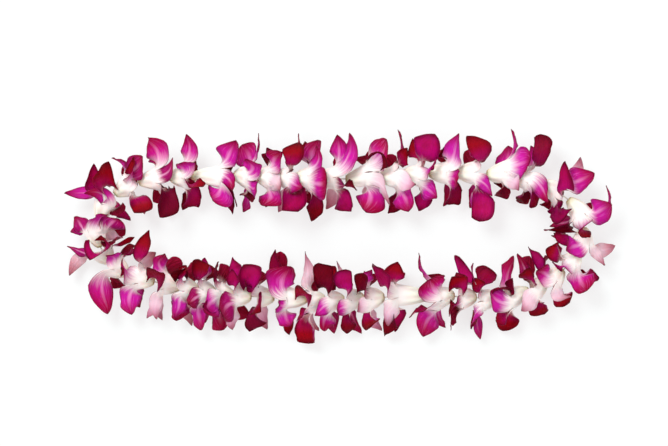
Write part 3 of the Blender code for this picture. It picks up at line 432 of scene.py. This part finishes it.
def bloom_sheet(plan, seg, rings, rows, cols, ruffle=0.0):
    """Points, faces and (lobe, t, u) of one bloom as an open sheet. seg is the number of ring faces in each lobe's
    base, rings the body rows, rows a dict of lobe stations by kind, cols the cross stations."""
    first = math.radians(plan["roll"] - 30.0)
    total = 6 * seg
    around = first + np.arange(total) * 2 * math.pi / total
    points, faces, info = [], [], []
    for f in rings:
        for p in body_ring(plan, f, around):
            points.append(p)
            info.append((6, f, 0.0))
    for j in range(len(rings) - 1):
        for i in range(total):
            a, b = j * total + i, j * total + (i + 1) % total
            faces.append((a, a + total, b + total, b))
    mouth = (len(rings) - 1) * total
    for k, lobe in enumerate(plan["lobes"]):
        ts = rows[lobe["kind"]]
        grid = lobe_points(plan, lobe, (0.0,) + tuple(ts), cols, ruffle)
        ids = [[mouth + (k * seg + c) % total for c in range(seg + 1)]]
        for j, t in enumerate(ts):
            if t >= 1.0:
                ids.append([len(points)])
                points.append(grid[j + 1, len(cols) // 2])
                info.append((k, 1.0, 0.0))
                continue
            line = []
            for c, u in enumerate(cols):
                line.append(len(points))
                points.append(grid[j + 1, c])
                info.append((k, t, u))
            ids.append(line)
        for lower, upper in zip(ids, ids[1:]):
            for c in range(seg):
                if len(upper) == 1:
                    faces.append((lower[c], upper[0], lower[c + 1]))
                else:
                    faces.append((lower[c], upper[c], upper[c + 1], lower[c + 1]))
    pts = np.array(points)
    pts[:, 0] += plan["s"]
    return pts, faces, info


# ---------------------------------------------------------------- node helpers
class Nodes:
    """A small wrapper that makes shader node trees readable."""

    def __init__(self, name):
        self.material = bpy.data.materials.new(name)
        self.material.use_nodes = True
        self.tree = self.material.node_tree
        self.shader = self.tree.nodes["Principled BSDF"]

    def put(self, socket, value):
        if isinstance(value, bpy.types.NodeSocket):
            self.tree.links.new(value, socket)
        elif isinstance(value, tuple) and len(value) == 3 and socket.type == "RGBA":
            socket.default_value = (*value, 1.0)
        else:
            socket.default_value = value

    def attribute(self, name):
        node = self.tree.nodes.new("ShaderNodeAttribute")
        node.attribute_name = name
        return node.outputs["Fac"]

    def math(self, op, a, b=0.0, c=0.0):
        node = self.tree.nodes.new("ShaderNodeMath")
        node.operation = op
        for socket, value in zip(node.inputs, (a, b, c)):
            self.put(socket, value)
        return node.outputs[0]

    def step(self, value, low, high, to_low=0.0, to_high=1.0):
        node = self.tree.nodes.new("ShaderNodeMapRange")
        node.interpolation_type = "SMOOTHSTEP"
        for key, v in (("Value", value), ("From Min", low), ("From Max", high), ("To Min", to_low), ("To Max", to_high)):
            self.put(node.inputs[key], v)
        return node.outputs[0]

    def mix(self, factor, a, b):
        node = self.tree.nodes.new("ShaderNodeMix")
        node.data_type = "RGBA"
        self.put(node.inputs["Factor"], factor)
        self.put(node.inputs[6], a)
        self.put(node.inputs[7], b)
        return node.outputs[2]

    def vector(self, x, y, z):
        node = self.tree.nodes.new("ShaderNodeCombineXYZ")
        for socket, value in zip(node.inputs, (x, y, z)):
            self.put(socket, value)
        return node.outputs[0]

    def place(self):
        return self.tree.nodes.new("ShaderNodeTexCoord").outputs["Object"]

    def noise(self, vector, scale, detail=2.0, rough=0.5):
        node = self.tree.nodes.new("ShaderNodeTexNoise")
        self.put(node.inputs["Vector"], vector)
        node.inputs["Scale"].default_value = scale
        node.inputs["Detail"].default_value = detail
        node.inputs["Roughness"].default_value = rough
        return node.outputs["Fac"]

    def bump(self, height, strength, distance):
        node = self.tree.nodes.new("ShaderNodeBump")
        node.inputs["Strength"].default_value = strength
        node.inputs["Distance"].default_value = distance
        self.put(node.inputs["Height"], height)
        self.put(self.shader.inputs["Normal"], node.outputs[0])


def petal_material(name, front):
    """Petal and body skin. bt runs along the body, bg marks its grooves, lt along a lobe, lu across it, ll marks the lip and lr is a number
    for each lobe."""
    n = Nodes(name)
    t, u, body_t, is_lip, rand, pale, groove = (n.attribute(a) for a in ("lt", "lu", "bt", "ll", "lr", "lp", "bg"))
    across = n.math("ABSOLUTE", u)
    shade = n.math("FRACT", n.math("MULTIPLY", rand, 7.31))
    veins = n.noise(n.vector(n.math("MULTIPLY", u, 7.0), n.math("MULTIPLY", t, 1.3), n.math("MULTIPLY", rand, 37.0)), 2.2, 3.0)
    cloud = n.noise(n.place(), 90.0, 3.0)
    patch = n.noise(n.place(), 38.0, 2.0)
    edge = n.math("ADD", n.step(across, 0.45, 1.0), n.step(t, 0.72, 1.0))
    edge = n.math("MINIMUM", edge, 1.0)
    wobble = n.math("MULTIPLY", n.math("SUBTRACT", veins, 0.5), 0.5)
    if front:
        crimson, magenta, dark = (0.235, 0.0002, 0.006), (0.48, 0.003, 0.22), (0.045, 0.0004, 0.004)
        base = n.mix(n.math("ADD", n.math("ADD", n.math("MULTIPLY", rand, 0.90), -0.36), wobble), crimson, magenta)
        base = n.mix(n.step(t, 0.30, 0.72, 0.50, 0.0), base, (0.48, 0.005, 0.22))
        base = n.mix(n.math("MULTIPLY", n.step(cloud, 0.35, 0.75), 0.45), base, (0.19, 0.002, 0.012))
        base = n.mix(n.math("MULTIPLY", n.step(shade, 0.42, 0.90), 0.88), base, (0.085, 0.0008, 0.006))
        base = n.mix(n.math("MULTIPLY", edge, n.math("ADD", 0.66, wobble)), base, dark)
        base = n.mix(n.math("MULTIPLY", n.step(veins, 0.56, 0.72), 0.40), base, dark)
        base = n.mix(n.step(t, 0.86, 1.0, 0.0, 0.75), base, (0.05, 0.0006, 0.006))
        lip = n.mix(n.step(veins, 0.4, 0.62), (0.16, 0.002, 0.020), (0.05, 0.001, 0.006))
        pale_to = 0.36
    else:
        crimson, magenta, dark = (0.33, 0.0004, 0.058), (0.56, 0.014, 0.38), (0.09, 0.0006, 0.014)
        base = n.mix(n.math("ADD", n.math("ADD", n.math("MULTIPLY", rand, 1.05), -0.20), n.math("MULTIPLY", wobble, 1.4)), crimson, magenta)
        base = n.mix(n.step(t, 0.34, 0.82, 0.72, 0.0), base, (0.52, 0.010, 0.33))
        base = n.mix(n.math("MULTIPLY", n.step(shade, 0.55, 0.95), 0.75), base, (0.19, 0.0010, 0.022))
        base = n.mix(n.math("MULTIPLY", edge, n.math("ADD", 0.54, wobble)), base, dark)
        base = n.mix(n.step(t, 0.55, 0.95, 0.0, 0.72), base, (0.24, 0.0006, 0.028))
        rib = n.math("MULTIPLY", n.step(across, 0.20, 0.02), n.step(t, 0.92, 0.25))
        base = n.mix(n.math("MULTIPLY", rib, 0.60), base, (0.84, 0.38, 0.62))
        base = n.mix(n.math("MULTIPLY", n.step(veins, 0.52, 0.70), 0.25), base, (0.74, 0.16, 0.50))
        base = n.mix(n.step(t, 0.88, 1.0, 0.0, 0.70), base, (0.07, 0.0008, 0.010))
        base = n.mix(n.math("MULTIPLY", pale, n.step(t, 1.0, 0.45, 0.15, 0.82)), base, (0.86, 0.60, 0.66))
        lip = n.mix(n.step(veins, 0.4, 0.65), (0.22, 0.003, 0.030), (0.10, 0.001, 0.010))
        pale_to = 0.52
    colour = n.mix(is_lip, base, lip)
    white = (0.985, 0.84, 0.80)
    frayed = n.math("MULTIPLY", n.math("MULTIPLY", n.math("SUBTRACT", veins, 0.5), 0.38), n.step(t, 0.02, 0.2))
    reach = n.math("ADD", n.math("MULTIPLY", shade, -0.55 * pale_to), 1.12 * pale_to)
    root = n.step(n.math("ADD", t, frayed), 0.05, reach, 1.0, 0.0)
    colour = n.mix(n.math("MULTIPLY", root, n.math("SUBTRACT", 1.0, n.math("MULTIPLY", is_lip, 0.5))), colour, white)
    green = n.mix(n.step(body_t, 0.0, 0.34), (0.88, 0.80, 0.50), (0.975, 0.885, 0.73))
    body = n.mix(n.math("MULTIPLY", n.step(body_t, 0.30, 0.95), 0.65), green, (0.985, 0.875, 0.79))
    body = n.mix(n.math("MULTIPLY", n.step(n.math("MULTIPLY", patch, veins), 0.24, 0.40), 0.28), body, (0.85, 0.50, 0.60))
    body = n.mix(n.step(body_t, 0.55, 0.97), body, white)
    # the body's grooves between the fused sepals are coloured darker pink: partly the lines where the sepals meet,
    # partly painted shade in the creases
    groove_line_and_shade = n.math("MULTIPLY", n.step(groove, 0.45, 1.0), n.math("MULTIPLY", n.step(body_t, 0.02, 0.35), n.step(body_t, 0.98, 0.70)))
    groove_line_and_shade = n.math("MULTIPLY", groove_line_and_shade, n.step(veins, 0.30, 0.60))
    body = n.mix(n.math("MULTIPLY", groove_line_and_shade, 0.50), body, (0.90, 0.60, 0.58))
    body = n.mix(n.step(body_t, 0.0, 0.10, 0.75, 0.0), body, (0.62, 0.47, 0.24))
    colour = n.mix(n.step(body_t, 0.90, 0.995, 1.0, 0.0), colour, body)
    n.put(n.shader.inputs["Base Color"], colour)
    n.put(n.shader.inputs["Roughness"], n.step(cloud, 0.3, 0.7, 0.36, 0.52))
    n.shader.inputs["Specular IOR Level"].default_value = 0.04
    n.shader.inputs["Subsurface Weight"].default_value = 0.35
    n.shader.inputs["Subsurface Radius"].default_value = (1.0, 0.45, 0.40)
    n.shader.inputs["Subsurface Scale"].default_value = 0.004
    fine = n.noise(n.place(), 1500.0, 2.0)
    n.bump(n.math("ADD", n.math("MULTIPLY", veins, n.step(t, 0.02, 0.30)), n.math("MULTIPLY", fine, 0.25)), 0.75, 0.0009)
    return n.material


def column_material():
    n = Nodes("orchid_column")
    t = n.attribute("lt")
    cloud = n.noise(n.place(), 300.0, 2.0)
    colour = n.mix(n.step(n.math("ADD", t, n.math("MULTIPLY", cloud, 0.1)), 0.66, 0.82), (0.88, 0.82, 0.66), (0.80, 0.30, 0.46))
    n.put(n.shader.inputs["Base Color"], colour)
    n.put(n.shader.inputs["Roughness"], n.step(cloud, 0.3, 0.7, 0.30, 0.45))
    return n.material


def cotton_material():
    n = Nodes("cotton_string")
    fibre = n.noise(n.place(), 2400.0, 3.0)
    tone = n.noise(n.place(), 160.0, 2.0)
    n.put(n.shader.inputs["Base Color"], n.mix(n.step(n.math("ADD", n.math("MULTIPLY", fibre, 0.6), n.math("MULTIPLY", tone, 0.4)), 0.35, 0.65),
                                              (0.62, 0.58, 0.48), (0.86, 0.83, 0.74)))
    n.put(n.shader.inputs["Roughness"], n.step(fibre, 0.2, 0.8, 0.80, 0.96))
    n.bump(fibre, 0.5, 0.0002)
    return n.material


def floor_material():
    # painted light: the surface glows (emission 0.71) to lift the cast shadows on it, and its base colour is tinted
    # against the glow colour so that the shade left on it turns pink
    n = Nodes("glowing_white_surface")
    n.shader.inputs["Base Color"].default_value = (0.225, 0.262, 0.258, 1.0)
    n.shader.inputs["Emission Color"].default_value = (1.0, 0.955, 0.960, 1.0)
    n.shader.inputs["Emission Strength"].default_value = 0.71
    n.shader.inputs["Roughness"].default_value = 0.9
    n.shader.inputs["Specular IOR Level"].default_value = 0.1
    return n.material


# ---------------------------------------------------------------- pieces
FRONT = petal_material("orchid_petal_front", True)
BACK = petal_material("orchid_petal_back", False)
COLUMN = column_material()
COTTON = cotton_material()
SEG = 12
FINE_COLS = tuple(np.linspace(-1.0, 1.0, SEG + 1))
FINE_ROWS = tuple(0.5 * (1 - math.cos(math.pi * k / 18)) * 0.6 + 0.4 * k / 18 for k in range(1, 18)) + (1.0,)
VISUAL_THICK = 0.55     # mm, thinner than the CAD wall and inside it


def mesh_from(name, points, faces, smooth_faces=True):
    mesh = bpy.data.meshes.new(name)
    mesh.from_pydata([tuple(p) for p in points], [], [tuple(f) for f in faces])
    if smooth_faces:
        mesh.polygons.foreach_set("use_smooth", [True] * len(mesh.polygons))
    mesh.update()
    obj = bpy.data.objects.new(name, mesh)
    bpy.context.scene.collection.objects.link(obj)
    return obj


def put_attribute(mesh, name, values):
    layer = mesh.attributes.new(name, "FLOAT", "POINT")
    layer.data.foreach_set("value", np.asarray(values, np.float32))


def fine_bloom(number, plan):
    rows = {kind: FINE_ROWS for kind in CUP}
    rings = tuple(np.linspace(0.0, 1.0, 11))
    points, faces, info = bloom_sheet(plan, SEG, rings, rows, FINE_COLS, ruffle=0.75)
    obj = mesh_from(f"orchid_{number:02d}", to_world(points) * 0.001, faces)
    mesh = obj.data
    rng = np.random.RandomState(900 + number)
    tone = rng.random_sample(7)
    put_attribute(mesh, "ll", [1.0 if k < 6 and plan["lobes"][k]["kind"] == "lip" else 0.0 for k, _, _ in info])
    put_attribute(mesh, "bt", [t if k == 6 else 1.0 for k, t, _ in info])
    around = np.arange(6 * SEG) * 60.0 / SEG - 30.0
    groove = np.tile(0.5 - 0.5 * np.cos(np.radians(6.0 * around)), len(rings))
    put_attribute(mesh, "bg", np.concatenate([groove, np.zeros(len(info) - len(groove))]))
    put_attribute(mesh, "lt", [0.0 if k == 6 else t for k, t, _ in info])
    put_attribute(mesh, "lu", [u for _, _, u in info])
    put_attribute(mesh, "lr", [tone[k] for k, _, _ in info])
    put_attribute(mesh, "lp", [0.0 if k == 6 else plan["lobes"][k]["pale"] for k, _, _ in info])
    mesh.materials.append(FRONT)
    mesh.materials.append(BACK)
    wall = obj.modifiers.new("wall", "SOLIDIFY")
    wall.thickness = VISUAL_THICK * 0.001
    wall.offset = 0.0
    wall.use_even_offset = False
    wall.use_rim = True
    wall.material_offset = 1
    wall.material_offset_rim = 0
    return obj


def fine_column(number, plan):
    """The column in the throat, with its cap: a bent, tapering rod on the dorsal side."""
    sides, steps = 12, 12
    ang = math.radians(plan["roll"])
    out = np.array([0.0, math.cos(ang), math.sin(ang)])
    side = np.array([0.0, -math.sin(ang), math.cos(ang)])
    points, faces, ts = [], [], []
    start = plan["body"] * 0.35
    for j in range(steps + 1):
        f = j / steps
        centre = np.array([start + 10.0 * f, plan["mouth_y"] * 0.6, AXIS_Z + plan["mouth_z"] * 0.6]) + out * (4.3 - 0.5 * f + 1.2 * f * f)
        r = 1.5 + 0.5 * f
        if f > 0.70:
            r = 2.25 * math.sqrt(max(0.0, 1.0 - ((f - 0.80) / 0.205) ** 2)) + 0.05
        for i in range(sides):
            a = 2 * math.pi * i / sides
            points.append(centre + r * math.cos(a) * out * 0.8 + r * math.sin(a) * side)
            ts.append(f)
    for j in range(steps):
        for i in range(sides):
            a, b = j * sides + i, j * sides + (i + 1) % sides
            faces.append((a, b, b + sides, a + sides))
    faces.append(tuple(range(sides))[::-1])
    faces.append(tuple(range(steps * sides, (steps + 1) * sides)))
    pts = np.array(points)
    pts[:, 0] += plan["s"]
    obj = mesh_from(f"column_{number:02d}", to_world(pts) * 0.001, faces)
    put_attribute(obj.data, "lt", ts)
    obj.data.materials.append(COLUMN)
    return obj


def fine_string():
    """Three twisted plies of cotton round the loop."""
    made = []
    steps, sides, r, off = 1500, 8, 0.30, 0.30
    turns = round(AROUND / 5.0)
    s = np.arange(steps) * AROUND / steps
    centre, outward = along(LINE, s), along(NORMAL, s)
    points, faces = [], []
    for ply in range(3):
        a = 2 * math.pi * (s / AROUND * turns + ply / 3.0)
        mid = np.concatenate([centre + outward * (off * np.cos(a))[:, None], (AXIS_Z + off * np.sin(a))[:, None]], 1)
        first = len(points)
        for j in range(steps):
            for i in range(sides):
                b = 2 * math.pi * i / sides
                points.append((mid[j, 0] + outward[j, 0] * r * math.cos(b), mid[j, 1] + outward[j, 1] * r * math.cos(b), mid[j, 2] + r * math.sin(b)))
        for j in range(steps):
            for i in range(sides):
                p, q = first + j * sides + i, first + j * sides + (i + 1) % sides
                p2, q2 = first + ((j + 1) % steps) * sides + i, first + ((j + 1) % steps) * sides + (i + 1) % sides
                faces.append((p, q, q2, p2))
    obj = mesh_from("twisted_string", np.array(points) * 0.001, faces)
    obj.data.materials.append(COTTON)
    return obj


PLANS = bloom_plan()
for count, plan in enumerate(PLANS, 1):
    bloom = fine_bloom(count, plan)
    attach(bloom, "root")
    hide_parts(f"bloom_{count:02d}")
    column = fine_column(count, plan)
    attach(column, "root")
string = fine_string()
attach(string, "root")
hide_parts("lei_string")

# ---------------------------------------------------------------- studio
floor = mesh_from("studio_floor", [(-3, -3, 0), (3, -3, 0), (3, 3, 0), (-3, 3, 0)], [(0, 1, 2, 3)], False)
floor.data.materials.append(floor_material())

world = bpy.data.worlds.new("studio")
bpy.context.scene.world = world
world.use_nodes = True
world.node_tree.nodes["Background"].inputs["Color"].default_value = (1.0, 1.0, 1.0, 1.0)
world.node_tree.nodes["Background"].inputs["Strength"].default_value = 0.84


def area(name, spot, aim, size, watts):
    data = bpy.data.lights.new(name, "AREA")
    data.shape = "DISK"
    data.size = size
    data.energy = watts
    obj = bpy.data.objects.new(name, data)
    bpy.context.scene.collection.objects.link(obj)
    obj.location = spot
    obj.rotation_euler = (Vector(aim) - Vector(spot)).to_track_quat("-Z", "Y").to_euler()
    return obj


area("key", (-0.7, 0.9, 1.6), (0, 0, 0), 0.9, 26.0)
area("fill", (0.9, -0.5, 1.5), (0, 0, 0), 1.4, 5.0)

camera_data = bpy.data.cameras.new("camera")
camera_data.lens = 100.0
camera_data.sensor_width = 36.0
camera_data.clip_start = 0.05
camera_data.clip_end = 20.0
camera = bpy.data.objects.new("camera", camera_data)
bpy.context.scene.collection.objects.link(camera)
camera.location = (-0.0078, 0.0124, 1.707 + 0.022)
camera.rotation_euler = (0.0, 0.0, 0.0)
bpy.context.scene.camera = camera
bpy.context.scene.view_settings.view_transform = "Standard"
bpy.context.scene.view_settings.look = "None"
bpy.context.scene.view_settings.exposure = 0.0
bpy.context.scene.view_settings.gamma = 1.0

bpy.context.view_layer.update()
